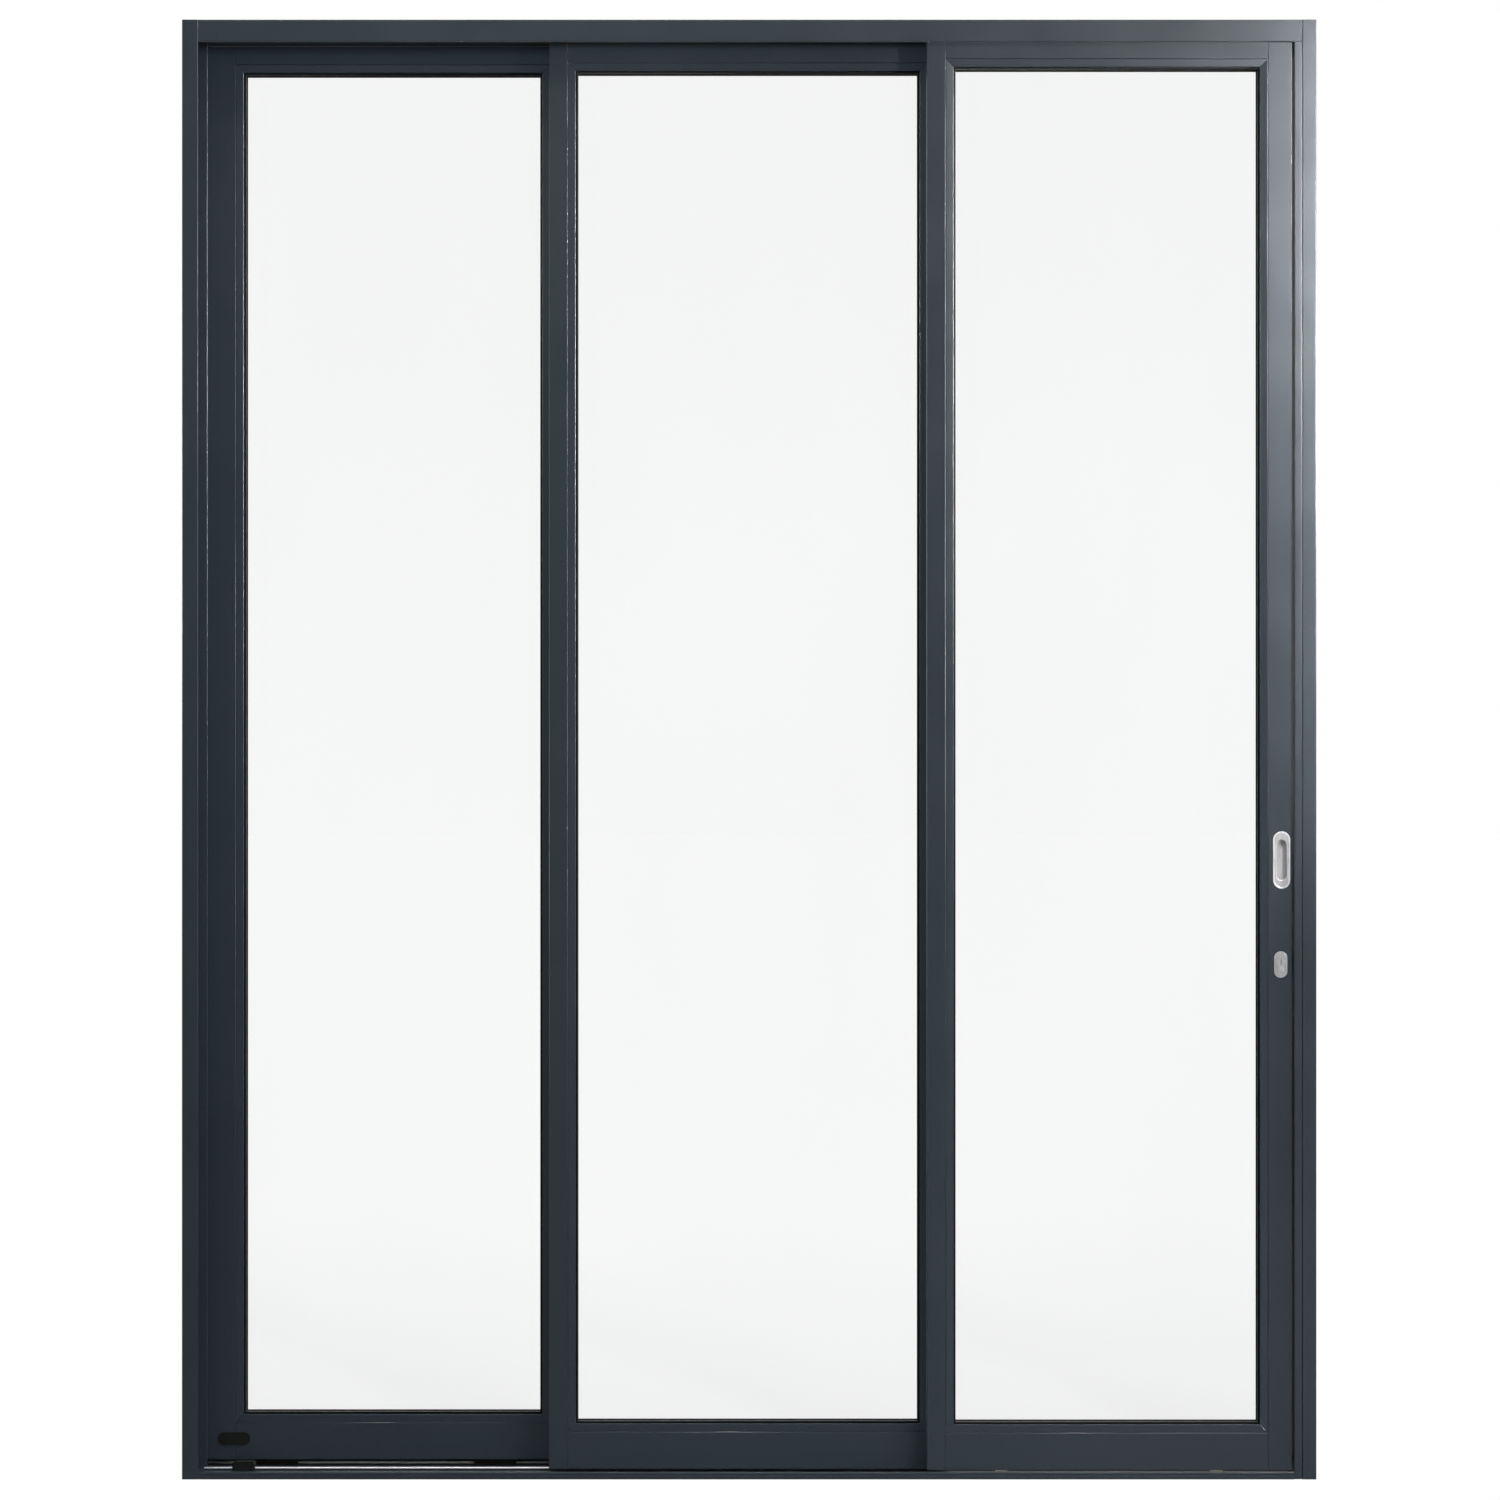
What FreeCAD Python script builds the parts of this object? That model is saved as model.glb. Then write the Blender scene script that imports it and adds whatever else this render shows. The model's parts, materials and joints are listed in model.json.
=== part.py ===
import FreeCAD, Part
import math
import os
import re
import Sketcher

# Glass sliding patio door: three tracks, the left leaf fixed, the middle and right leaves sliding left.
# X runs to the right, Y to the back, Z up. The origin is at the middle of the sill's underside.

# Driving dimensions, in millimetres
SIZES = {
    # outer frame
    "overall_width": 1865.0,
    "overall_height": 2400.0,
    "flange_thick": 3.0,
    "web_thick": 3.0,
    "fin_thick": 3.0,
    "face_gap": 6.0,
    "head_face": 36.0,
    "head_fin": 26.0,
    "left_jamb_face": 26.4,
    "left_front_fin": 19.4,
    "left_rear_fin": 28.2,
    "right_jamb_face": 22.9,
    "sill_floor": 2.0,
    "sill_lip": 12.0,
    "lip_groove_low": 6.0,
    "lip_groove_width": 1.2,
    "lip_groove_depth": 0.7,
    "edge_break": 0.8,
    # closing strip on the right jamb
    "strip_face": 13.2,
    "strip_groove": 0.8,
    "closing_gap": 2.8,
    # fixing holes through the jamb webs
    "fixing_radius": 4.0,
    "fixing_count": 4.0,
    "fixing_end": 200.0,
    # running rails
    "rail_top": 7.2,
    "rail_head_radius": 2.5,
    "rail_web": 2.4,
    "rail_foot": 9.0,
    "rail_foot_thick": 1.5,
    # leaves
    "leaf_depth": 44.0,
    "leaf_gap": 18.0,
    "leaf_top_drop": 20.0,
    "outer_leaf_base": 14.0,
    "middle_leaf_base": 7.0,
    "meeting_stile": 31.0,
    "lock_stile": 39.5,
    "jamb_stile": 55.0,
    "jamb_stile_gap": 16.5,
    "right_daylight": 497.5,
    "middle_daylight": 564.0,
    "sliding_overlap": 34.4,
    "fixed_overlap": 30.0,
    "bottom_rail": 61.5,
    "left_top_rail": 35.5,
    "middle_top_rail": 41.0,
    "right_top_rail": 43.0,
    "rear_lip": 3.0,
    # roller channel under each leaf
    "channel_width": 22.0,
    "channel_height": 32.0,
    # interlocking hooks on the meeting stiles
    "hook_inset": 6.0,
    "hook_web": 2.0,
    "hook_lip": 1.5,
    "hook_clear": 5.0,
    "hook_end_clear": 8.0,
    # glazing
    "bead_width": 13.0,
    "bead_set_back": 1.4,
    "bead_land": 1.6,
    "bead_slope_depth": 1.2,
    "mitre_kerf": 0.3,
    "gasket_show": 3.5,
    "gasket_thick": 3.0,
    "gasket_rise": 2.2,
    "gasket_cover": 6.0,
    "pane_thick": 4.0,
    "cavity": 16.0,
    "glass_clear": 5.0,
    "spacer_width": 9.0,
    "spacer_inset": 1.0,
    "block_length": 100.0,
    # roller carriages and the fixed leaf's pads
    "wheel_radius": 12.0,
    "wheel_groove": 2.6,
    "wheel_mouth": 7.2,
    "wheel_bed": 5.6,
    "wheel_width": 11.0,
    "wheel_clear": 0.3,
    "carriage_length": 70.0,
    "carriage_inset": 88.0,
    "carriage_lift": 6.0,
    "rail_clear": 0.3,
    # handle and lock
    "pull_length": 94.7,
    "pull_width": 28.5,
    "pull_rim": 1.5,
    "pull_band": 2.6,
    "pull_band_rise": 0.7,
    "pull_above_lock": 172.0,
    "pull_inset": 17.3,
    "cup_length": 66.8,
    "cup_width": 17.6,
    "cup_depth": 13.0,
    "cup_wall": 1.2,
    "cup_fit": 0.3,
    "scutcheon_length": 43.5,
    "scutcheon_width": 21.8,
    "scutcheon_thick": 3.0,
    "lock_height": 846.0,
    "lock_inset": 18.9,
    "cylinder_radius": 8.5,
    "cylinder_leg": 5.0,
    "cylinder_drop": 11.0,
    "cylinder_rise": 5.0,
    "cylinder_proud": 4.0,
    "plug_radius": 6.4,
    "plug_ring": 0.7,
    "plug_ring_depth": 0.5,
    "key_slot_length": 8.4,
    "key_slot_width": 1.8,
    "key_slot_depth": 6.0,
    "faceplate_length": 240.0,
    "faceplate_width": 20.0,
    "faceplate_thick": 2.0,
    "bolt_slot_length": 34.0,
    "bolt_slot_width": 9.0,
    "keep_length": 170.0,
    # small trim
    "cover_length": 53.8,
    "cover_width": 21.3,
    "cover_thick": 3.0,
    "cover_height": 49.0,
    "cover_offset": 2.5,
    "stop_length": 37.7,
    "stop_width": 16.0,
    "stop_height": 16.0,
    "stop_chamfer": 4.0,
    "stop_from_jamb": 47.3,
    "brush_thick": 5.0,
    "brush_height": 5.0,
}

# Sizes that follow from the driving ones, as expressions of them
HALF_WIDTH = "(overall_width / 2)"
FRAME_DEPTH = "(2 * (flange_thick + face_gap) + 3 * leaf_depth + 2 * leaf_gap)"
HALF_DEPTH = f"({FRAME_DEPTH} / 2)"
PITCH = "(leaf_depth + leaf_gap)"
FIN_LINE = f"({PITCH} / 2)"
LEFT_TIPS = f"(-{HALF_WIDTH} + left_jamb_face)"
RIGHT_TIPS = f"({HALF_WIDTH} - right_jamb_face)"
STRIP_EDGE = f"({RIGHT_TIPS} - strip_face)"
HEAD_EDGE = "(overall_height - head_face)"
LEAF_TOP = "(overall_height - leaf_top_drop)"
SIGHT = "(bead_width + gasket_show)"
UNIT_THICK = "(2 * pane_thick + cavity)"
GLASS_FRONT = f"(leaf_depth - rear_lip - gasket_thick - {UNIT_THICK})"
BEAD_BACK = f"({GLASS_FRONT} - gasket_thick)"
HOOK_REACH = "(leaf_gap - hook_clear)"

doc = FreeCAD.newDocument("patio_door")
sheet = doc.addObject("Spreadsheet::Sheet", "sizes")
for row, (alias, value) in enumerate(SIZES.items(), 1):
    sheet.set(f"A{row}", alias)
    sheet.set(f"B{row}", str(value))
    sheet.setAlias(f"B{row}", alias)
doc.recompute()


def bound(expression):
    """Point each size's name in an expression at its cell, and leave the names of functions."""
    return re.sub(r"[a-z][a-z_]*\b(?!\()", lambda word: "sizes." + word.group(), expression)


def new_body(label, place=("0", "0", "0")):
    body = doc.addObject("PartDesign::Body", label)
    body.Label = label
    for axis, expression in zip("xyz", place):
        body.setExpression(f"Placement.Base.{axis}", bound(expression))
    return body


def new_sketch(body, role, offset):
    """Open a sketch on one of the body's own origin planes, moved along the plane's normal."""
    sketch = body.newObject("Sketcher::SketchObject", body.Label + "_sketch")
    planes = [feature for feature in body.Origin.OriginFeatures if feature.Role == role]
    sketch.AttachmentSupport = [(planes[0], "")]
    sketch.MapMode = "FlatFace"
    sketch.setExpression("AttachmentOffset.Base.z", bound(offset))
    return sketch


def pin_point(sketch, geometry, end, across, up):
    """Hold one point of a sketch at two expressions, measured from the sketch's origin."""
    spot = sketch.getPoint(geometry, end)
    for kind, guess, expression in (("DistanceX", spot.x, across), ("DistanceY", spot.y, up)):
        index = sketch.addConstraint(Sketcher.Constraint(kind, -1, 1, geometry, end, guess))
        sketch.setExpression(f"Constraints[{index}]", bound(expression))


def draw_loop(sketch, corners):
    """Draw a closed outline of straight edges through the corners."""
    first = sketch.GeometryCount
    count = len(corners)
    turn = 2 * math.pi / count
    spots = [FreeCAD.Vector(math.cos(turn * step), math.sin(turn * step), 0) for step in range(count)]
    for step in range(count):
        sketch.addGeometry(Part.LineSegment(spots[step], spots[(step + 1) % count]), False)
    for step in range(count):
        joined = first + (step + 1) % count
        sketch.addConstraint(Sketcher.Constraint("Coincident", first + step, 2, joined, 1))
    for step, (across, up) in enumerate(corners):
        pin_point(sketch, first + step, 1, across, up)


def draw_circle(sketch, across, up, radius):
    circle = sketch.addGeometry(Part.Circle(FreeCAD.Vector(0, 0, 0), FreeCAD.Vector(0, 0, 1), 1.0), False)
    pin_point(sketch, circle, 3, across, up)
    index = sketch.addConstraint(Sketcher.Constraint("Radius", circle, 1.0))
    sketch.setExpression(f"Constraints[{index}]", bound(radius))


def draw_obround(sketch, across, up, length, width, lying=False):
    """Draw a slot shape about a centre, standing up unless it is lying."""
    sketch.setExpression("AttachmentOffset.Base.x", bound(across))
    sketch.setExpression("AttachmentOffset.Base.y", bound(up))
    guess_radius, guess_reach = 10.0, 15.0
    begin = 0.5 * math.pi if lying else 0.0
    along = FreeCAD.Vector(-guess_reach, 0, 0) if lying else FreeCAD.Vector(0, guess_reach, 0)
    side = FreeCAD.Vector(0, guess_radius, 0) if lying else FreeCAD.Vector(guess_radius, 0, 0)
    arcs = []
    for centre, angle in ((along, begin), (-along, begin + math.pi)):
        circle = Part.Circle(centre, FreeCAD.Vector(0, 0, 1), guess_radius)
        arcs.append(sketch.addGeometry(Part.ArcOfCircle(circle, angle, angle + math.pi), False))
    far = sketch.addGeometry(Part.LineSegment(along - side, -along - side), False)
    near = sketch.addGeometry(Part.LineSegment(side - along, along + side), False)
    joins = ((arcs[0], 2, far, 1), (far, 2, arcs[1], 1), (arcs[1], 2, near, 1), (near, 2, arcs[0], 1))
    for one, one_end, other, other_end in joins:
        sketch.addConstraint(Sketcher.Constraint("Tangent", one, one_end, other, other_end))
    sketch.addConstraint(Sketcher.Constraint("Equal", arcs[0], arcs[1]))
    index = sketch.addConstraint(Sketcher.Constraint("Radius", arcs[0], guess_radius))
    sketch.setExpression(f"Constraints[{index}]", bound(f"({width}) / 2"))
    shift = f"(({length}) / 2 - ({width}) / 2)"
    for arc, sign in zip(arcs, ("-", "") if lying else ("", "-")):
        centre = (sign + shift, "0") if lying else ("0", sign + shift)
        pin_point(sketch, arc, 3, *centre)


def rectangle(low_across, low_up, high_across, high_up):
    return [(low_across, low_up), (high_across, low_up), (high_across, high_up), (low_across, high_up)]


def extrude(body, role, loops, start, length):
    """Pad outlines along the plane's normal, from start over length."""
    sketch = new_sketch(body, role, start)
    for loop in loops:
        draw_loop(sketch, loop)
    return pad(body, sketch, length)


def pad(body, sketch, length):
    feature = body.newObject("PartDesign::Pad", body.Label + "_pad")
    feature.Profile = sketch
    feature.setExpression("Length", bound(length))
    sketch.Visibility = False
    return feature


def slab(body, loops, front, back):
    """Pad outlines drawn in the door's plane between two depths behind the body's origin."""
    return extrude(body, "XZ_Plane", loops, f"-({back})", f"({back}) - ({front})")


def cut(body, sketch, length=None, towards_normal=False):
    """Pocket a sketch, right through both ways or over a length, and see that it took material away."""
    doc.recompute()
    before = body.Shape.Volume
    feature = body.newObject("PartDesign::Pocket", body.Label + "_pocket")
    feature.Profile = sketch
    if length is None:
        feature.Type = "ThroughAll"
        feature.Midplane = True
    else:
        feature.setExpression("Length", bound(length))
        feature.Reversed = towards_normal
    sketch.Visibility = False
    doc.recompute()
    if not body.Shape.Volume < before:
        raise ValueError(f"{body.Label}: a pocket removed nothing")
    return feature


def cut_loops(body, role, loops, offset="0", length=None, towards_normal=False):
    sketch = new_sketch(body, role, offset)
    for loop in loops:
        draw_loop(sketch, loop)
    return cut(body, sketch, length, towards_normal)


def ring(low_across, low_up, high_across, high_up, inset):
    """Two rectangles, one inside the other."""
    inner = rectangle(f"{low_across} + {inset}", f"{low_up} + {inset}",
                      f"{high_across} - {inset}", f"{high_up} - {inset}")
    return [rectangle(low_across, low_up, high_across, high_up), inner]


def channel_outline(face, place):
    """Web and two outer flanges of a frame member, as depth and distance in from its outer face."""
    corners = [(f"-{HALF_DEPTH}", "edge_break"), (f"-{HALF_DEPTH} + edge_break", "0"),
               (f"{HALF_DEPTH} - edge_break", "0"), (HALF_DEPTH, "edge_break"),
               (HALF_DEPTH, f"{face} - edge_break"), (f"{HALF_DEPTH} - edge_break", face),
               (f"{HALF_DEPTH} - flange_thick", face), (f"{HALF_DEPTH} - flange_thick", "web_thick"),
               (f"-{HALF_DEPTH} + flange_thick", "web_thick"), (f"-{HALF_DEPTH} + flange_thick", face),
               (f"-{HALF_DEPTH} + edge_break", face), (f"-{HALF_DEPTH}", f"{face} - edge_break")]
    return [place(depth, inward) for depth, inward in corners]


def fin_outlines(front_tip, rear_tip, place):
    """The two fins between the three tracks, each as far in from the outer face as its tip."""
    outlines = []
    for line, tip in (("-" + FIN_LINE, front_tip), (FIN_LINE, rear_tip)):
        corners = rectangle(f"{line} - fin_thick / 2", "web_thick", f"{line} + fin_thick / 2", tip)
        outlines.append([place(depth, inward) for depth, inward in corners])
    return outlines


def make_jamb(label, face, fin_tips, place):
    """An upright of the frame: full-height channel, with fins that stop under the head and on the sill."""
    body = new_body(label)
    extrude(body, "XY_Plane", [channel_outline(face, place)], "0", "overall_height")
    extrude(body, "XY_Plane", fin_outlines(*fin_tips, place), "sill_floor",
            "overall_height - web_thick - sill_floor")
    holes = new_sketch(body, "YZ_Plane", place("0", "0")[0])
    for track in (f"-{PITCH}", PITCH):
        for step in range(round(SIZES["fixing_count"])):
            spread = f"(overall_height - 2 * fixing_end) * {step} / (fixing_count - 1)"
            draw_circle(holes, track, f"fixing_end + {spread}", "fixing_radius")
    cut(body, holes, "web_thick", towards_normal=label == "left_jamb")
    return body


def make_head():
    def place(depth, inward):
        return depth, f"overall_height - ({inward})"

    body = new_body("head")
    span = f"{RIGHT_TIPS} - {LEFT_TIPS}"
    extrude(body, "YZ_Plane", [channel_outline("head_face", place)], LEFT_TIPS, span)
    fin_start = f"-{HALF_WIDTH} + left_rear_fin"
    extrude(body, "YZ_Plane", fin_outlines("head_fin", "head_fin", place), fin_start,
            f"{RIGHT_TIPS} - ({fin_start})")
    web = rectangle(f"-{HALF_DEPTH} + flange_thick", "overall_height - web_thick",
                    f"{HALF_DEPTH} - flange_thick", "overall_height")
    extrude(body, "YZ_Plane", [web], f"-{HALF_WIDTH} + web_thick", "overall_width - 2 * web_thick")
    return body


def make_sill():
    """Floor plate with a grooved front lip and a rear lip, running in between the jambs' flanges."""
    body = new_body("sill")
    groove_top = "(lip_groove_low + lip_groove_width)"
    outline = [(f"-{HALF_DEPTH}", "0"), (HALF_DEPTH, "0"), (HALF_DEPTH, "sill_lip - edge_break"),
               (f"{HALF_DEPTH} - edge_break", "sill_lip"), (f"{HALF_DEPTH} - flange_thick", "sill_lip"),
               (f"{HALF_DEPTH} - flange_thick", "sill_floor"), (f"-{HALF_DEPTH} + flange_thick", "sill_floor"),
               (f"-{HALF_DEPTH} + flange_thick", "sill_lip"), (f"-{HALF_DEPTH} + edge_break", "sill_lip"),
               (f"-{HALF_DEPTH}", "sill_lip - edge_break"), (f"-{HALF_DEPTH}", groove_top),
               (f"-{HALF_DEPTH} + lip_groove_depth", groove_top),
               (f"-{HALF_DEPTH} + lip_groove_depth", "lip_groove_low"), (f"-{HALF_DEPTH}", "lip_groove_low")]
    extrude(body, "YZ_Plane", [outline], LEFT_TIPS, f"{STRIP_EDGE} - {LEFT_TIPS}")
    floor = rectangle(f"-{HALF_DEPTH} + flange_thick", "0", f"{HALF_DEPTH} - flange_thick", "sill_floor")
    extrude(body, "YZ_Plane", [floor], f"-{HALF_WIDTH} + web_thick", "overall_width - 2 * web_thick")
    return body


def make_running_rail(label, line, right_end):
    """Round-headed rail on a thin web and a flat foot."""
    body = new_body(label, (LEFT_TIPS, line, "sill_floor"))
    height = "(rail_top - sill_floor)"
    length = f"{right_end} - {LEFT_TIPS}"
    profile = [("-rail_foot / 2", "0"), ("rail_foot / 2", "0"), ("rail_foot / 2", "rail_foot_thick"),
               ("rail_web / 2", "rail_foot_thick"), ("rail_web / 2", f"{height} - rail_head_radius"),
               ("-rail_web / 2", f"{height} - rail_head_radius"), ("-rail_web / 2", "rail_foot_thick"),
               ("-rail_foot / 2", "rail_foot_thick")]
    extrude(body, "YZ_Plane", [profile], "0", length)
    crown = new_sketch(body, "YZ_Plane", "0")
    draw_circle(crown, "0", f"{height} - rail_head_radius", "rail_head_radius")
    pad(body, crown, length)
    return body


def make_closing_strip():
    """Strip on the right jamb that the lock stile closes against, with a recess for the keep."""
    body = new_body("closing_strip")
    back = f"(-{FIN_LINE} + fin_thick / 2)"
    groove = "(strip_face - strip_groove)"
    profile = [(STRIP_EDGE, f"-{HALF_DEPTH} + edge_break"), (f"{STRIP_EDGE} + edge_break", f"-{HALF_DEPTH}"),
               (f"{STRIP_EDGE} + {groove}", f"-{HALF_DEPTH}"),
               (f"{STRIP_EDGE} + {groove}", f"-{HALF_DEPTH} + flange_thick"),
               (RIGHT_TIPS, f"-{HALF_DEPTH} + flange_thick"), (RIGHT_TIPS, back), (STRIP_EDGE, back)]
    extrude(body, "XY_Plane", [profile], "sill_floor", f"{HEAD_EDGE} - sill_floor")
    recess = rectangle(f"-{PITCH} - faceplate_width / 2", "lock_height - keep_length / 2",
                       f"-{PITCH} + faceplate_width / 2", "lock_height + keep_length / 2")
    cut_loops(body, "YZ_Plane", [recess], STRIP_EDGE, "faceplate_thick", towards_normal=True)
    return body


def make_lock_keep():
    """Plate let into the closing strip, with the slot that takes the hook bolt."""
    body = new_body("lock_keep", (STRIP_EDGE, f"-{PITCH}", "lock_height"))
    plate = rectangle("-faceplate_width / 2", "-keep_length / 2", "faceplate_width / 2", "keep_length / 2")
    slot = rectangle("-bolt_slot_width / 2", "-bolt_slot_length / 2",
                     "bolt_slot_width / 2", "bolt_slot_length / 2")
    extrude(body, "YZ_Plane", [plate, slot], "0", "faceplate_thick")
    return body


def make_sill_stop():
    """Stop block that straddles the middle rail and ends the middle leaf's travel."""
    body = new_body("sill_stop", (f"{LEFT_TIPS} + stop_from_jamb", "0", "sill_floor"))
    side = [("0", "0"), ("stop_length", "0"), ("stop_length", "stop_height - stop_chamfer / 2"),
            ("stop_length - stop_chamfer", "stop_height"), ("stop_chamfer", "stop_height"),
            ("0", "stop_height - stop_chamfer")]
    extrude(body, "XZ_Plane", [side], "-stop_width / 2", "stop_width")
    half_slot = "(rail_foot / 2 + rail_clear)"
    slot = rectangle(f"-{half_slot}", "-rail_clear", half_slot, "rail_top - sill_floor + rail_clear")
    cut_loops(body, "YZ_Plane", [slot])
    return body


def make_brush_seals():
    """Pile strips behind the head's front flange and behind its fins."""
    body = new_body("brush_seals")
    strips = []
    for rear, tip in ((f"-{HALF_DEPTH} + flange_thick", "head_face"), (f"-{FIN_LINE} + fin_thick / 2", "head_fin"),
                      (f"{FIN_LINE} + fin_thick / 2", "head_fin")):
        low = f"(overall_height - {tip})"
        strips.append(rectangle(rear, low, f"{rear} + brush_thick", f"{low} + brush_height"))
    start = f"(-{HALF_WIDTH} + left_rear_fin)"
    extrude(body, "YZ_Plane", strips, start, f"{STRIP_EDGE} - {start}")
    return body


class Leaf:
    """Names, places and widths of one leaf. Its pieces are drawn from its lower left front corner."""

    def __init__(self, name, left, front, base, left_stile, right_stile, daylight, top_rail):
        self.name = name
        self.place = (left, front, base)
        self.left_stile = left_stile
        self.right_stile = right_stile
        self.width = f"({left_stile} + {right_stile} + 2 * {SIGHT} + {daylight})"
        self.height = f"({LEAF_TOP} - {base})"
        self.base = base
        self.low = "bottom_rail"
        self.high = f"({self.height} - {top_rail})"
        self.right_edge = f"({self.width} - {right_stile})"

    def body(self, piece):
        return new_body(f"{self.name}_{piece}", self.place)

    def opening(self, inset):
        """Corners of the glazed opening between stiles and rails, moved inwards all round."""
        return (f"{self.left_stile} + {inset}", f"{self.low} + {inset}",
                f"{self.right_edge} - {inset}", f"{self.high} - {inset}")


def make_stile(leaf, piece, width, on_right, hook=None, overlap=None):
    """Upright with broken edges, a rear glazing lip, a bottom channel and, where leaves meet, a hook."""
    body = leaf.body(piece)

    def place(across, depth):
        return (f"{leaf.width} - ({across})" if on_right else across), depth

    tube = [("0", "edge_break"), ("edge_break", "0"), (f"{width} - edge_break", "0"), (width, "edge_break"),
            (width, "leaf_depth"), ("edge_break", "leaf_depth"), ("0", "leaf_depth - edge_break")]
    extrude(body, "XY_Plane", [[place(*corner) for corner in tube]], "0", leaf.height)
    lip = rectangle(width, "leaf_depth - rear_lip", f"{width} + bead_width", "leaf_depth")
    extrude(body, "XY_Plane", [[place(*corner) for corner in lip]], leaf.low, f"{leaf.high} - {leaf.low}")
    if hook:
        face, away = ("leaf_depth", "+") if hook == "rear" else ("0", "-")
        root = "hook_inset + hook_web"
        tip = f"(hook_inset + {overlap} - 2 * hook_inset - hook_web - hook_clear)"
        inside = f"{face} {away} ({HOOK_REACH} - hook_lip)"
        outside = f"{face} {away} {HOOK_REACH}"
        outline = [("hook_inset", face), (root, face), (root, inside), (tip, inside), (tip, outside),
                   ("hook_inset", outside)]
        length = f"{HEAD_EDGE} - hook_end_clear - {leaf.base}"
        extrude(body, "XY_Plane", [[place(*corner) for corner in outline]], "0", length)
    channel = rectangle("(leaf_depth - channel_width) / 2", "-edge_break",
                        "(leaf_depth + channel_width) / 2", "channel_height")
    cut_loops(body, "YZ_Plane", [channel])
    return body


def make_rails(leaf):
    """Top and bottom rails, butted between the stiles, each with a rear glazing lip."""
    span = f"{leaf.right_edge} - {leaf.left_stile}"
    lip_start = f"{leaf.left_stile} + bead_width"
    lip_span = f"{span} - 2 * bead_width"
    half_in = "(leaf_depth - channel_width) / 2"
    half_out = "(leaf_depth + channel_width) / 2"
    bottom = leaf.body("bottom_rail")
    outline = [("0", "0"), (half_in, "0"), (half_in, "channel_height"), (half_out, "channel_height"),
               (half_out, "0"), ("leaf_depth", "0"), ("leaf_depth", leaf.low),
               ("edge_break", leaf.low), ("0", f"{leaf.low} - edge_break")]
    extrude(bottom, "YZ_Plane", [outline], leaf.left_stile, span)
    lip = rectangle("leaf_depth - rear_lip", leaf.low, "leaf_depth", f"{leaf.low} + bead_width")
    extrude(bottom, "YZ_Plane", [lip], lip_start, lip_span)
    top = leaf.body("top_rail")
    outline = [("edge_break", leaf.high), ("leaf_depth", leaf.high), ("leaf_depth", leaf.height),
               ("0", leaf.height), ("0", f"{leaf.high} + edge_break")]
    extrude(top, "YZ_Plane", [outline], leaf.left_stile, span)
    lip = rectangle("leaf_depth - rear_lip", f"{leaf.high} - bead_width", "leaf_depth", leaf.high)
    extrude(top, "YZ_Plane", [lip], lip_start, lip_span)
    return bottom, top


def make_beads(leaf):
    """Four glazing beads with a sloping face, cut to mitres that meet at the corners."""
    body = leaf.body("beads")
    slab(body, ring(*leaf.opening("0"), "bead_width"), "bead_set_back", BEAD_BACK)
    slope = new_sketch(body, "XZ_Plane", "-bead_set_back")
    draw_loop(slope, rectangle(*leaf.opening("bead_land")))
    feature = cut(body, slope, "bead_slope_depth")
    feature.setExpression("TaperAngle", bound("-atan((bead_width - bead_land) / bead_slope_depth)"))
    left, low, right, high = leaf.opening("0")
    kerfs = []
    for side, inward in ((left, "+"), (right, "-")):
        for end, rise in ((low, "+"), (high, "-")):
            outward = "-" if inward == "+" else "+"
            drop = "-" if rise == "+" else "+"
            reach = "(2 * bead_width)"
            kerfs.append([(f"{side} {outward} bead_width - mitre_kerf / 2", f"{end} {drop} bead_width"),
                          (f"{side} {outward} bead_width + mitre_kerf / 2", f"{end} {drop} bead_width"),
                          (f"{side} {inward} {reach} + mitre_kerf / 2", f"{end} {rise} {reach}"),
                          (f"{side} {inward} {reach} - mitre_kerf / 2", f"{end} {rise} {reach}")])
    cut_loops(body, "XZ_Plane", kerfs)
    return body


def make_glazing(leaf):
    """Double-glazed unit: two panes, the spacer between them, gaskets on both faces, setting blocks."""
    cavity_front = f"({GLASS_FRONT} + pane_thick)"
    cavity_back = f"({cavity_front} + cavity)"
    rear_face = f"({cavity_back} + pane_thick)"
    panes = leaf.body("panes")
    outline = rectangle(*leaf.opening("glass_clear"))
    slab(panes, [outline], GLASS_FRONT, cavity_front)
    slab(panes, [outline], cavity_back, rear_face)
    spacer = leaf.body("spacer")
    slab(spacer, ring(*leaf.opening("(glass_clear + spacer_inset)"), "spacer_width"),
         cavity_front, cavity_back)
    gaskets = leaf.body("gaskets")
    foot = ring(*leaf.opening("(bead_width - gasket_cover)"), "(gasket_cover + gasket_show)")
    slab(gaskets, foot, BEAD_BACK, GLASS_FRONT)
    slab(gaskets, ring(*leaf.opening("bead_width"), "gasket_show"), f"{BEAD_BACK} - gasket_rise", BEAD_BACK)
    slab(gaskets, foot, rear_face, f"{rear_face} + gasket_thick")
    blocks = leaf.body("setting_blocks")
    quarter = f"({leaf.right_edge} - {leaf.left_stile}) / 4"
    outlines = []
    for centre in (f"({leaf.left_stile} + {quarter})", f"({leaf.right_edge} - {quarter})"):
        outlines.append(rectangle(f"{centre} - block_length / 2", leaf.low,
                                  f"{centre} + block_length / 2", f"{leaf.low} + glass_clear"))
    slab(blocks, outlines, GLASS_FRONT, rear_face)
    return panes, spacer, gaskets, blocks


def carriage_starts(leaf):
    return ("carriage_inset", f"({leaf.width} - carriage_inset - carriage_length)")


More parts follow.
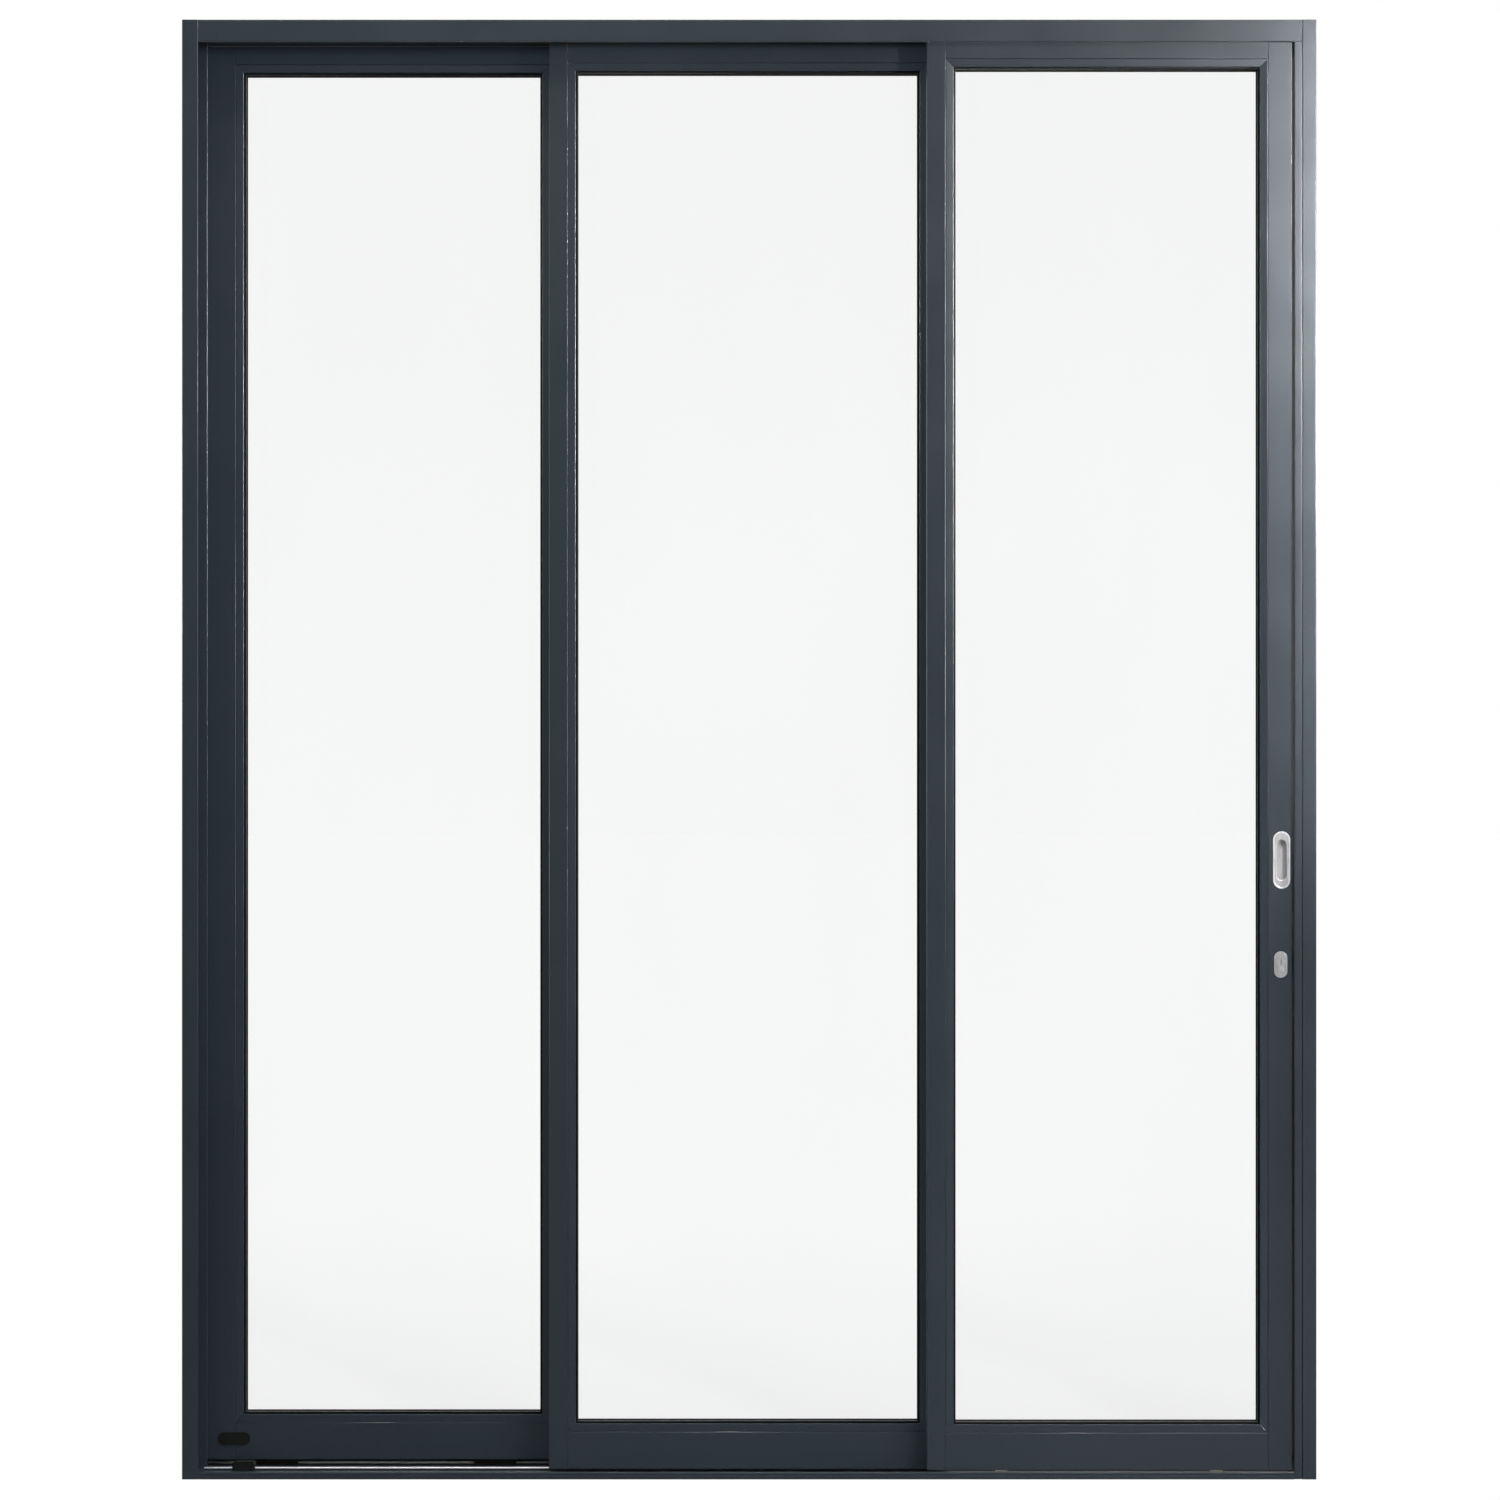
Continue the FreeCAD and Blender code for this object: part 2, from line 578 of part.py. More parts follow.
def make_pads(leaf):
    """Blocks in the fixed leaf's channel that carry it on its rail."""
    body = leaf.body("pads")
    wide = "(channel_width / 2)"
    slot = "(rail_head_radius + rail_clear)"
    middle = "leaf_depth / 2"
    crown = f"(rail_top + rail_clear - {leaf.base})"
    foot = f"({crown} - rail_head_radius)"
    outline = [(f"{middle} - {wide}", foot), (f"{middle} - {slot}", foot), (f"{middle} - {slot}", crown),
               (f"{middle} + {slot}", crown), (f"{middle} + {slot}", foot), (f"{middle} + {wide}", foot),
               (f"{middle} + {wide}", "channel_height"), (f"{middle} - {wide}", "channel_height")]
    for start in carriage_starts(leaf):
        extrude(body, "YZ_Plane", [outline], start, "carriage_length")
    return body


def make_rollers(leaf):
    """Two carriages in the bottom channel, and the grooved wheels that run on the rail."""
    carriages = leaf.body("carriages")
    middle = "leaf_depth / 2"
    outer = "(channel_width / 2)"
    inner = "(wheel_width / 2 + wheel_clear)"
    hub = f"(rail_top + rail_clear + wheel_radius - wheel_groove - {leaf.base})"
    low = f"(rail_top + carriage_lift - {leaf.base})"
    crown = f"({hub} + wheel_radius + 2 * wheel_clear)"
    outline = [(f"{middle} - {outer}", low), (f"{middle} - {inner}", low), (f"{middle} - {inner}", crown),
               (f"{middle} + {inner}", crown), (f"{middle} + {inner}", low), (f"{middle} + {outer}", low),
               (f"{middle} + {outer}", "channel_height"), (f"{middle} - {outer}", "channel_height")]
    for start in carriage_starts(leaf):
        extrude(carriages, "YZ_Plane", [outline], start, "carriage_length")
    wheels = leaf.body("wheels")
    half = "wheel_width / 2"
    section = [("-" + half, "0"), (half, "0"), (half, "wheel_radius"), ("wheel_mouth / 2", "wheel_radius"),
               ("wheel_bed / 2", "wheel_radius - wheel_groove"),
               ("-wheel_bed / 2", "wheel_radius - wheel_groove"), ("-wheel_mouth / 2", "wheel_radius"),
               ("-" + half, "wheel_radius")]
    for start in carriage_starts(leaf):
        sketch = new_sketch(wheels, "YZ_Plane", f"{start} + carriage_length / 2")
        draw_loop(sketch, section)
        sketch.setExpression("AttachmentOffset.Base.x", bound(middle))
        sketch.setExpression("AttachmentOffset.Base.y", bound(hub))
        turned = wheels.newObject("PartDesign::Revolution", "wheel")
        turned.Profile = sketch
        turned.ReferenceAxis = (sketch, ["H_Axis"])
        turned.Angle = 360.0
    return carriages, wheels


def make_hardware(leaf):
    """Flush pulls and lock on both faces of the lock stile, with their recesses in the stile."""
    stile = doc.getObject(leaf.name + "_lock_stile")
    pull_across = f"({leaf.width} - pull_inset)"
    pull_up = f"(lock_height + pull_above_lock - {leaf.base})"
    lock_across = f"({leaf.width} - lock_inset)"
    lock_up = f"(lock_height - {leaf.base})"
    cup = ("cup_length + 2 * cup_wall", "cup_width + 2 * cup_wall")
    bay = (f"{cup[0]} + 2 * cup_fit", f"{cup[1]} + 2 * cup_fit")
    bay_depth = "cup_depth + cup_wall - pull_rim + cup_fit"
    for offset, forwards in (("0", False), ("-leaf_depth", True)):
        sketch = new_sketch(stile, "XZ_Plane", offset)
        draw_obround(sketch, pull_across, pull_up, *bay)
        cut(stile, sketch, bay_depth, forwards)
    for piece, flip in (("front_pull", False), ("rear_pull", True)):
        body = leaf.body(piece)
        rim, shell, hollow = (("-pull_rim", "0"), ("0", "cup_depth + cup_wall - pull_rim"), "pull_rim")
        if flip:
            rim = ("leaf_depth", "leaf_depth + pull_rim")
            shell = ("leaf_depth - (cup_depth + cup_wall - pull_rim)", "leaf_depth")
            hollow = "-leaf_depth - pull_rim"
        for (front, back), size in ((rim, ("pull_length", "pull_width")), (shell, cup)):
            sketch = new_sketch(body, "XZ_Plane", f"-({back})")
            draw_obround(sketch, pull_across, pull_up, *size)
            pad(body, sketch, f"({back}) - ({front})")
        for length, width, depth in (("cup_length", "cup_width", "cup_depth"),
                                     ("pull_length - 2 * pull_band", "pull_width - 2 * pull_band",
                                      "pull_band_rise")):
            sketch = new_sketch(body, "XZ_Plane", hollow)
            draw_obround(sketch, pull_across, pull_up, length, width)
            cut(body, sketch, depth, flip)
    for radius_extra, target, proud in (("cup_fit", stile, "0"), ("0", leaf.body("lock_cylinder"),
                                                                  "cylinder_proud")):
        for shape in ("barrel", "leg"):
            sketch = new_sketch(target, "XZ_Plane", f"-(leaf_depth + {proud})")
            if shape == "barrel":
                draw_circle(sketch, lock_across, f"{lock_up} + cylinder_rise", f"cylinder_radius + {radius_extra}")
            else:
                draw_obround(sketch, lock_across, f"{lock_up} + cylinder_rise - cylinder_drop",
                             f"2 * cylinder_drop + 2 * {radius_extra}", f"2 * cylinder_leg + 2 * {radius_extra}")
            if target is stile:
                cut(target, sketch)
            else:
                pad(target, sketch, f"leaf_depth + 2 * {proud}")
    cylinder = doc.getObject(leaf.name + "_lock_cylinder")
    core_up = f"({lock_up} + cylinder_rise)"
    for offset, forwards in (("cylinder_proud", False), ("-(leaf_depth + cylinder_proud)", True)):
        sketch = new_sketch(cylinder, "XZ_Plane", offset)
        for radius in ("plug_radius", "plug_radius - plug_ring"):
            draw_circle(sketch, lock_across, core_up, radius)
        cut(cylinder, sketch, "plug_ring_depth", forwards)
        key_slot = rectangle(f"{lock_across} - key_slot_width / 2", f"{core_up} - key_slot_length / 2",
                             f"{lock_across} + key_slot_width / 2", f"{core_up} + key_slot_length / 2")
        cut_loops(cylinder, "XZ_Plane", [key_slot], offset, "key_slot_depth", forwards)
    plates = leaf.body("scutcheons")
    for front, back in (("-scutcheon_thick", "0"), ("leaf_depth", "leaf_depth + scutcheon_thick")):
        sketch = new_sketch(plates, "XZ_Plane", f"-({back})")
        draw_obround(sketch, lock_across, lock_up, "scutcheon_length", "scutcheon_width")
        pad(plates, sketch, f"({back}) - ({front})")
    for shape in ("barrel", "leg"):
        sketch = new_sketch(plates, "XZ_Plane", "0")
        if shape == "barrel":
            draw_circle(sketch, lock_across, f"{lock_up} + cylinder_rise", "cylinder_radius + cup_fit")
        else:
            draw_obround(sketch, lock_across, f"{lock_up} + cylinder_rise - cylinder_drop",
                         "2 * cylinder_drop + 2 * cup_fit", "2 * cylinder_leg + 2 * cup_fit")
        cut(plates, sketch)
    middle = "leaf_depth / 2"
    plate = rectangle(f"{middle} - faceplate_width / 2", f"{lock_up} - faceplate_length / 2",
                      f"{middle} + faceplate_width / 2", f"{lock_up} + faceplate_length / 2")
    slot = rectangle(f"{middle} - bolt_slot_width / 2", f"{lock_up} - bolt_slot_length / 2",
                     f"{middle} + bolt_slot_width / 2", f"{lock_up} + bolt_slot_length / 2")
    cut_loops(stile, "YZ_Plane", [plate], leaf.width, "faceplate_thick")
    extrude(leaf.body("lock_faceplate"), "YZ_Plane", [plate, slot],
            f"{leaf.width} - faceplate_thick", "faceplate_thick")


def make_fixing_cover(leaf):
    """Oblong cap over the fixed leaf's securing screw, across the stile and rail joint."""
    body = leaf.body("fixing_cover")
    sketch = new_sketch(body, "XZ_Plane", "0")
    draw_obround(sketch, f"{leaf.left_stile} - cover_offset", f"cover_height - {leaf.base}",
                 "cover_length", "cover_width", lying=True)
    pad(body, sketch, "cover_thick")
    return body


def check_and_write():
    doc.recompute()
    for item in doc.Objects:
        if "Invalid" in item.State or "Error" in item.State:
            raise ValueError(f"{item.Label} did not recompute: {item.State}")
    os.makedirs("parts", exist_ok=True)
    for item in doc.Objects:
        if item.TypeId != "PartDesign::Body":
            continue
        if item.Shape.isNull() or not item.Shape.isValid():
            raise ValueError(f"{item.Label} has no valid shape")
        item.Shape.exportStep(f"parts/{item.Label}.step")
        print(item.Label, len(item.Shape.Solids), "solids", round(item.Shape.Volume), "mm3")


# Outer frame, rails and trim
make_jamb("left_jamb", "left_jamb_face", ("left_front_fin", "left_rear_fin"),
          lambda depth, inward: (f"-{HALF_WIDTH} + {inward}", depth))
make_jamb("right_jamb", "right_jamb_face", ("right_jamb_face", "right_jamb_face"),
          lambda depth, inward: (f"{HALF_WIDTH} - ({inward})", depth))
make_head()
make_sill()
make_running_rail("front_rail", f"-{PITCH}", STRIP_EDGE)
make_running_rail("middle_rail", "0", RIGHT_TIPS)
make_running_rail("rear_rail", PITCH, RIGHT_TIPS)
make_closing_strip()
make_lock_keep()
make_sill_stop()
make_brush_seals()

# The three leaves, each placed from its neighbour on the right
RIGHT_WIDTH = f"(meeting_stile + lock_stile + 2 * {SIGHT} + right_daylight)"
RIGHT_LEFT = f"({STRIP_EDGE} - closing_gap - {RIGHT_WIDTH})"
MIDDLE_WIDTH = f"(2 * meeting_stile + 2 * {SIGHT} + middle_daylight)"
MIDDLE_LEFT = f"({RIGHT_LEFT} + sliding_overlap - {MIDDLE_WIDTH})"
LEFT_LEFT = f"(-{HALF_WIDTH} + web_thick + jamb_stile_gap)"
LEFT_WIDTH = f"({MIDDLE_LEFT} + fixed_overlap - {LEFT_LEFT})"
LEFT_DAYLIGHT = f"({LEFT_WIDTH} - jamb_stile - meeting_stile - 2 * {SIGHT})"
right_leaf = Leaf("right", RIGHT_LEFT, f"(-{PITCH} - leaf_depth / 2)", "outer_leaf_base",
                  "meeting_stile", "lock_stile", "right_daylight", "right_top_rail")
middle_leaf = Leaf("middle", MIDDLE_LEFT, "(-leaf_depth / 2)", "middle_leaf_base",
                   "meeting_stile", "meeting_stile", "middle_daylight", "middle_top_rail")
left_leaf = Leaf("left", LEFT_LEFT, f"({PITCH} - leaf_depth / 2)", "outer_leaf_base",
                 "jamb_stile", "meeting_stile", LEFT_DAYLIGHT, "left_top_rail")
make_stile(right_leaf, "meeting_stile", "meeting_stile", False, "rear", "sliding_overlap")
make_stile(right_leaf, "lock_stile", "lock_stile", True)
make_stile(middle_leaf, "left_stile", "meeting_stile", False, "rear", "fixed_overlap")
make_stile(middle_leaf, "right_stile", "meeting_stile", True, "front", "sliding_overlap")
make_stile(left_leaf, "jamb_stile", "jamb_stile", False)
make_stile(left_leaf, "meeting_stile", "meeting_stile", True, "front", "fixed_overlap")
for leaf in (left_leaf, middle_leaf, right_leaf):
    make_rails(leaf)
    make_beads(leaf)
    make_glazing(leaf)
make_pads(left_leaf)
make_fixing_cover(left_leaf)
make_rollers(middle_leaf)
make_rollers(right_leaf)
make_hardware(right_leaf)
check_and_write()
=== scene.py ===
import json
import math
import bmesh
import bpy
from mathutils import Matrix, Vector


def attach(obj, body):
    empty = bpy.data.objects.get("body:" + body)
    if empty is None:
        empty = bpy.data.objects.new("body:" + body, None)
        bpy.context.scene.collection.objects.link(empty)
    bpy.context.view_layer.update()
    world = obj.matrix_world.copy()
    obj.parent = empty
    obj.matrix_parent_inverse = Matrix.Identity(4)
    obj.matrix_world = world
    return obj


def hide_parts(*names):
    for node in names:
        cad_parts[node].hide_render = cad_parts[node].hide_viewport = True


# Glass sliding patio door, dressed: metres, X to the right, Y to the back, Z up.
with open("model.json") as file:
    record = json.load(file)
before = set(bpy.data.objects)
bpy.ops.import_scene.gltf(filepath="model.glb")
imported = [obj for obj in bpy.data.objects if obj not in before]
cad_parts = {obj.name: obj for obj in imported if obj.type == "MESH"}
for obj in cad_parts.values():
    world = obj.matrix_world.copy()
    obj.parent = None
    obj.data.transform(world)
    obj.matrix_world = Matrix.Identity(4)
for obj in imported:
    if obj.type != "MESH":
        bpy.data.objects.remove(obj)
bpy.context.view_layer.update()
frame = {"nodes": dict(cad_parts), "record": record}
nodes = frame["nodes"]
bodies = frame["record"]["behaviour"]["bodies"]
body_of_node = {node: body for body, group in bodies.items() for node in group}


# Shader helpers

def new_material(name):
    made = bpy.data.materials.new(name)
    made.use_nodes = True
    made.node_tree.nodes.clear()
    return made


def add(material, kind, **values):
    """Add a shader node; a value given by an input's name goes on that socket."""
    node = material.node_tree.nodes.new(kind)
    for key, value in values.items():
        if key in node.inputs:
            node.inputs[key].default_value = value
        else:
            setattr(node, key, value)
    return node


def link(material, source, target):
    material.node_tree.links.new(source, target)


def noise(material, scale, detail=2.0, stretch=(1, 1, 1)):
    """Noise over the piece's own coordinates, stretched along some axes."""
    place = add(material, "ShaderNodeTexCoord")
    mapping = add(material, "ShaderNodeMapping")
    mapping.inputs["Scale"].default_value = stretch
    texture = add(material, "ShaderNodeTexNoise", Scale=scale, Detail=detail)
    link(material, place.outputs["Object"], mapping.inputs["Vector"])
    link(material, mapping.outputs["Vector"], texture.inputs["Vector"])
    return texture.outputs["Fac"]


def spread(material, source, low, high, lowest=0.3, highest=0.7):
    """Turn a value between lowest and highest, by default most of a noise, into one between low and high."""
    node = add(material, "ShaderNodeMapRange")
    for socket, value in (("From Min", lowest), ("From Max", highest), ("To Min", low), ("To Max", high)):
        node.inputs[socket].default_value = value
    link(material, source, node.inputs["Value"])
    return node.outputs["Result"]


def arithmetic(material, operation, first, second):
    """Work out an operation on two values, each of them a socket or a number."""
    node = add(material, "ShaderNodeMath", operation=operation)
    for socket, value in zip(node.inputs, (first, second)):
        if isinstance(value, (int, float)):
            socket.default_value = value
        else:
            link(material, value, socket)
    return node.outputs[0]


def place_in_box(material):
    """Place across and up in the piece's own box, each from 0 to 1."""
    place = add(material, "ShaderNodeTexCoord")
    axes = add(material, "ShaderNodeSeparateXYZ")
    link(material, place.outputs["Generated"], axes.inputs["Vector"])
    return axes.outputs["X"], axes.outputs["Z"]


def blend_colours(material, source, first, second):
    """Blend two colours by a value; the second may be a socket."""
    mix = add(material, "ShaderNodeMix", data_type="RGBA")
    mix.inputs[6].default_value = (*first, 1)
    if isinstance(second, tuple):
        mix.inputs[7].default_value = (*second, 1)
    else:
        link(material, second, mix.inputs[7])
    link(material, source, mix.inputs[0])
    return mix.outputs[2]


def bump(material, source, strength, distance):
    node = add(material, "ShaderNodeBump", Strength=strength, Distance=distance)
    link(material, source, node.inputs["Height"])
    return node.outputs["Normal"]


def finish_surface(material, shader):
    output = add(material, "ShaderNodeOutputMaterial")
    link(material, shader, output.inputs["Surface"])
    return material


# Finishes

def powder_coat(name, dark, light, roughness):
    """Satin powder coat: a fine even texture, with faint drifts of tone and gloss."""
    made = new_material(name)
    shader = add(made, "ShaderNodeBsdfPrincipled", IOR=1.5)
    drift = noise(made, 2.6, 3.0)
    link(made, blend_colours(made, spread(made, drift, 0, 1), dark, light), shader.inputs["Base Color"])
    gloss = noise(made, 9.0, 2.0)
    link(made, spread(made, gloss, roughness - 0.02, roughness + 0.02), shader.inputs["Roughness"])
    grain = noise(made, 1500.0, 1.0)
    link(made, bump(made, grain, 0.12, 0.0001), shader.inputs["Normal"])
    return finish_surface(made, shader.outputs["BSDF"])


def metal(name, dark, light, roughness, stretch, grain_scale=900.0, metallic=1.0, foot=None):
    """Metal with a fine grain drawn out along one direction, and painted shade on its lower part where a
    foot colour is given.
    """
    made = new_material(name)
    shader = add(made, "ShaderNodeBsdfPrincipled", Metallic=metallic)
    streaks = noise(made, grain_scale, 3.0, stretch)
    colour = blend_colours(made, spread(made, streaks, 0, 1), dark, light)
    # Painted shade: the lower part of the piece's box goes over to the dark foot colour.
    if foot:
        up = place_in_box(made)[1]
        colour = blend_colours(made, spread(made, up, 0, 1, 0.40, 0.55), foot, colour)
    link(made, colour, shader.inputs["Base Color"])
    link(made, spread(made, streaks, roughness - 0.05, roughness + 0.05), shader.inputs["Roughness"])
    link(made, bump(made, streaks, 0.15, 0.00005), shader.inputs["Normal"])
    return finish_surface(made, shader.outputs["BSDF"])


def matt(name, dark, light, roughness, grain_scale, grain_strength, sheen=0.0, shine=0.5):
    """Rubber, plastic or pile: a dull surface with a fine grain."""
    made = new_material(name)
    shader = add(made, "ShaderNodeBsdfPrincipled", IOR=1.45)
    shader.inputs["Sheen Weight"].default_value = sheen
    shader.inputs["Specular IOR Level"].default_value = shine
    tone = noise(made, grain_scale / 12, 2.0)
    link(made, blend_colours(made, spread(made, tone, 0, 1), dark, light), shader.inputs["Base Color"])
    link(made, spread(made, tone, roughness - 0.05, roughness + 0.05), shader.inputs["Roughness"])
    grain = noise(made, grain_scale, 2.0)
    link(made, bump(made, grain, grain_strength, 0.0002), shader.inputs["Normal"])
    return finish_surface(made, shader.outputs["BSDF"])


def clear_glass(name):
    """Clear float glass that lets nearly all light through and mirrors more where it is seen at a slant.

    It is darker towards its bottom and its top, as painted shade, and carries a painted reflection: a soft
    slanting band and uneven clouding.
    """
    made = new_material(name)
    across, up = place_in_box(made)
    # Painted shade: the pane is darker towards its bottom and its top.
    foot = spread(made, up, 0.017, 0.0, 0.0, 0.16)
    top = spread(made, up, 0.0, 0.005, 0.60, 1.0)
    # Painted reflection: a soft band slanting across the pane.
    slant = arithmetic(made, "ADD", up, arithmetic(made, "MULTIPLY", across, 0.098))
    rising = spread(made, slant, 0.0, 0.006, 0.055, 0.074)
    falling = spread(made, slant, 0.0, 0.006, 0.074, 0.130)
    painted_reflection_band = arithmetic(made, "SUBTRACT", rising, falling)
    # Painted reflection: faint uneven clouding from a noise.
    painted_clouding = spread(made, noise(made, 2.2, 3.0, (1, 1, 0.45)), 0.0, 0.005)
    painted_shade_at_ends = arithmetic(made, "ADD", foot, top)
    painted_shade_and_reflection = arithmetic(made, "ADD", painted_shade_at_ends, arithmetic(made, "ADD", painted_reflection_band, painted_clouding))
    clearness_less_painted_shade = arithmetic(made, "SUBTRACT", 0.990, painted_shade_and_reflection)
    bluer_clearness_less_painted_shade = arithmetic(made, "ADD", clearness_less_painted_shade, 0.001)
    tint = add(made, "ShaderNodeCombineColor")
    link(made, clearness_less_painted_shade, tint.inputs["Red"])
    link(made, bluer_clearness_less_painted_shade, tint.inputs["Green"])
    link(made, bluer_clearness_less_painted_shade, tint.inputs["Blue"])
    through = add(made, "ShaderNodeBsdfTransparent")
    link(made, tint.outputs["Color"], through.inputs["Color"])
    gloss = add(made, "ShaderNodeBsdfGlossy", Roughness=0.02)
    gloss.inputs["Color"].default_value = (0.95, 0.96, 0.96, 1)
    slant_of_view = add(made, "ShaderNodeLayerWeight", Blend=0.5)
    grazing = arithmetic(made, "POWER", slant_of_view.outputs["Facing"], 5)
    mirrored = spread(made, grazing, 0.0098, 1.0, 0.0, 1.0)
    mix = add(made, "ShaderNodeMixShader")
    link(made, mirrored, mix.inputs["Fac"])
    link(made, through.outputs["BSDF"], mix.inputs[1])
    link(made, gloss.outputs["BSDF"], mix.inputs[2])
    return finish_surface(made, mix.outputs["Shader"])


COAT_DARK, COAT_LIGHT = (0.0305, 0.0450, 0.0595), (0.0340, 0.0490, 0.0640)
coat_frame = powder_coat("frame_powder_coat", COAT_DARK, COAT_LIGHT, 0.30)
coat_leaf = powder_coat("leaf_powder_coat", COAT_DARK, COAT_LIGHT, 0.30)
nickel = metal("satin_nickel", (0.46, 0.451, 0.447), (0.565, 0.555, 0.55), 0.34, (1, 1, 0.08), metallic=0.55)
# Lighter copy of the satin nickel: a painted highlight for the rims of the pulls.
nickel_painted_highlight = metal("nickel_painted_highlight", (0.76, 0.75, 0.745), (0.86, 0.85, 0.845), 0.30, (1, 1, 0.08),
                      metallic=0.45)
# The rail's lower half carries painted shade, the dark foot colour, below its lit top.
rail_steel = metal("bright_rail", (0.70, 0.71, 0.72), (0.80, 0.81, 0.82), 0.30, (0.03, 1, 1), metallic=0.4,
                   foot=(0.035, 0.045, 0.050))
plate_steel = metal("satin_steel", (0.50, 0.50, 0.50), (0.60, 0.60, 0.60), 0.38, (1, 1, 0.05))
zinc = metal("zinc_plate", (0.46, 0.47, 0.48), (0.58, 0.58, 0.57), 0.45, (1, 1, 1), 260.0)
gasket_rubber = matt("gasket_rubber", (0.0030, 0.0034, 0.0040), (0.0055, 0.0060, 0.0068), 0.62, 900.0, 0.15,
                     shine=0.12)
plastic_black = matt("black_plastic", (0.0050, 0.0053, 0.0056), (0.0080, 0.0083, 0.0086), 0.50, 1300.0, 0.20,
                     shine=0.30)
pile = matt("brush_pile", (0.004, 0.004, 0.004), (0.014, 0.014, 0.014), 0.9, 2400.0, 0.9, sheen=0.3)
spacer_grey = matt("spacer_bar", (0.02, 0.02, 0.02), (0.03, 0.03, 0.03), 0.55, 700.0, 0.2)
nylon = matt("wheel_nylon", (0.62, 0.60, 0.54), (0.70, 0.68, 0.62), 0.45, 500.0, 0.15)
glass = clear_glass("clear_glass")


# Pieces

SHARP_ANGLE = math.radians(28)
FLAT_ANGLE = math.radians(0.5)
SAME_PLACE = 1e-5

# Depth of the right leaf's middle plane, with one pull before it and one behind it.
RIGHT_LEAF_MIDDLE = -0.062


def shortest_neighbour(edge):
    """Length of the shortest edge that meets this one."""
    met = [other for corner in edge.verts for other in corner.link_edges if other is not edge]
    return min(other.calc_length() for other in met)


def mark_rim(form):
    """Give the painted highlight, the second material, to the face that lies farthest from the right leaf's
    middle plane.
    """
    def distance(vertex):
        return abs(vertex.co.y - RIGHT_LEAF_MIDDLE)

    outermost = max(map(distance, form.verts))
    for face in form.faces:
        if min(map(distance, face.verts)) > outermost - SAME_PLACE:
            face.material_index = 1


def rounded(node, surface, radius, segments=2, reach=0.45, shortest=3.0, rim=None):
    """Show a copy of a CAD node whose outer edges are rounded.

    The rounding is as wide as the radius, or narrower where the edge meets one that is short for it. Edges
    shorter than shortest times the radius stay sharp. A rim is a lighter copy of the surface, a painted
    highlight, for the outer face and the rounded edges of a pull.
    """
    form = bmesh.new()
    form.from_mesh(nodes[node].data)
    bmesh.ops.remove_doubles(form, verts=form.verts, dist=SAME_PLACE)
    bmesh.ops.dissolve_limit(form, angle_limit=FLAT_ANGLE, verts=form.verts, edges=form.edges)
    for face in form.faces:
        face.smooth = True
    if rim:
        mark_rim(form)
    weight = form.edges.layers.float.new("bevel_weight_edge")
    for edge in form.edges:
        if len(edge.link_faces) != 2 or edge.calc_face_angle() < SHARP_ANGLE:
            continue
        if edge.is_convex and edge.calc_length() > shortest * radius:
            edge[weight] = min(1, reach * shortest_neighbour(edge) / radius)
        else:
            edge.smooth = False
    mesh = bpy.data.meshes.new(node + "_rounded")
    form.to_mesh(mesh)
    form.free()
    mesh.materials.append(surface)
    # The rim material is a painted highlight.
    if rim:
        mesh.materials.append(rim)
    piece = bpy.data.objects.new(node + "_rounded", mesh)
    bpy.context.scene.collection.objects.link(piece)
    edges = piece.modifiers.new("edges", "BEVEL")
    edges.width = radius
    edges.segments = segments
    edges.limit_method = "WEIGHT"
    edges.use_clamp_overlap = False
    # The rounded edges of a pull take the painted highlight too.
    if rim:
        edges.material = 1
    normals = piece.modifiers.new("normals", "WEIGHTED_NORMAL")
    normals.weight = 100
    normals.keep_sharp = True
    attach(piece, body_of_node[node])
    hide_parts(node)


def dress(node, surface):
    """Keep a CAD node and give it its finish."""
    if not nodes[node].material_slots:
        nodes[node].data.materials.append(surface)
    for slot in nodes[node].material_slots:
        slot.material = surface


LEAVES = ("left", "middle", "right")
STILES = ("left_jamb_stile", "left_meeting_stile", "middle_left_stile", "middle_right_stile",
          "right_meeting_stile", "right_lock_stile")
COAT_EDGE = 0.0006
GASKET_EDGE = 0.0008
CAP_EDGE = 0.0008
STOP_EDGE = 0.0012
PLATE_EDGE = 0.0012
CYLINDER_EDGE = 0.0003
for node in ("left_jamb", "right_jamb", "head", "sill", "closing_strip"):
    rounded(node, coat_frame, COAT_EDGE)
for node in STILES:
    rounded(node, coat_leaf, COAT_EDGE)
for leaf in LEAVES:
    for piece in ("bottom_rail", "top_rail", "beads"):
        rounded(f"{leaf}_{piece}", coat_leaf, COAT_EDGE)
    rounded(f"{leaf}_gaskets", gasket_rubber, GASKET_EDGE)
    dress(f"{leaf}_panes", glass)
    dress(f"{leaf}_spacer", spacer_grey)
    dress(f"{leaf}_setting_blocks", plastic_black)
for node in ("front_rail", "middle_rail", "rear_rail"):
    dress(node, rail_steel)
rounded("sill_stop", plastic_black, STOP_EDGE, 3)
rounded("left_fixing_cover", plastic_black, CAP_EDGE, 3)
dress("left_pads", plastic_black)
dress("brush_seals", pile)
for leaf in ("middle", "right"):
    dress(f"{leaf}_carriages", zinc)
    dress(f"{leaf}_wheels", nylon)
for node in ("right_front_pull", "right_rear_pull"):
    # Painted highlight: each pull's outer face and rounded edges take the lighter nickel.
    rounded(node, nickel, PLATE_EDGE, 4, reach=0.7, shortest=0, rim=nickel_painted_highlight)
rounded("right_scutcheons", nickel, PLATE_EDGE, 4, reach=0.7, shortest=0)
rounded("right_lock_cylinder", nickel, CYLINDER_EDGE)
dress("lock_keep", plate_steel)
dress("right_lock_faceplate", plate_steel)


# Stage, light and camera

FLOOR_SIZE = 60
FLOOR_HEIGHT = -0.0005
DOOR_MIDDLE = (0, 0, 1.2)
SHEEN_TINT = (0.90, 0.94, 1.0)


